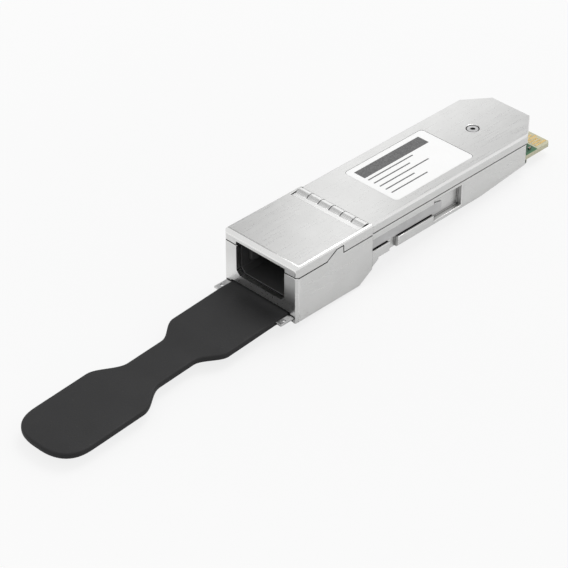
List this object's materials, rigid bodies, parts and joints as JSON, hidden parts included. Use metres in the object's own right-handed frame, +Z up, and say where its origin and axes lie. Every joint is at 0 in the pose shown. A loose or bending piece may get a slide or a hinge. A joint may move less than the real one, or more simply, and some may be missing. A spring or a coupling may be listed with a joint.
{
  "type": "optical transceiver module",
  "caption": "Slim plated plug-in transceiver with a multi-fibre port in its nose, a board edge at the rear and a soft pull tab that slides the side latch arms.",
  "frame": {"origin": "on the flat underside of the body, in the middle plane, 46 mm behind the front face of the nose", "axes": "+Y from the fibre port to the board edge, +Z up through the label, +X to the right seen from the port"},
  "size_m": [0.0188, 0.1268, 0.0156],
  "materials": {
    "shell": "satin nickel plate on a zinc casting",
    "steel": "bright rolled spring steel",
    "tab": "matt moulded elastomer",
    "port": "matt black moulding",
    "ferrule": "fine matt moulding",
    "label": "white printed film",
    "board": "green solder mask",
    "chip": "black moulded package",
    "gold": "gold plate",
    "lens": "amber moulded resin",
    "ribbon": "coated fibre ribbon",
    "pad": "soft silicone pad",
    "gasket": "filled elastomer"
  },
  "bodies": {
    "module": {"bottom_housing": "shell", "top_cover": "shell", "label": "label", "emi_collar": "steel", "cover_screw": "steel", "plate_screw_left": "steel", "plate_screw_right": "steel", "nose_plate": "steel", "return_spring_left": "steel", "return_spring_right": "steel", "mpo_receptacle": "port", "plug_latch": "port", "mt_ferrule": "ferrule", "guide_pin_left": "steel", "guide_pin_right": "steel", "pin_clamp": "steel", "fibre_ribbon": "ribbon", "circuit_board": "board", "lens_block": "lens", "laser_array": "gold", "photodiode_array": "gold", "laser_driver": "chip", "receiver_amplifier": "chip", "controller": "chip", "clock_crystal": "steel", "power_inductor_left": "chip", "power_inductor_right": "chip", "thermal_pad": "pad", "absorber_pad": "gasket", "gasket_left": "gasket", "gasket_right": "gasket"},
    "release": {"release_yoke": "steel", "pull_tab": "tab"}
  },
  "joints": [
    {"name": "release_slide", "type": "slide", "parent": "module", "child": "release", "axis": [0, -1, 0], "range_m": [0, 0.0035], "stiffness_N_per_m": 250, "springref_m": -0.004, "deforming": ["return_spring_left", "return_spring_right"]}
  ]
}
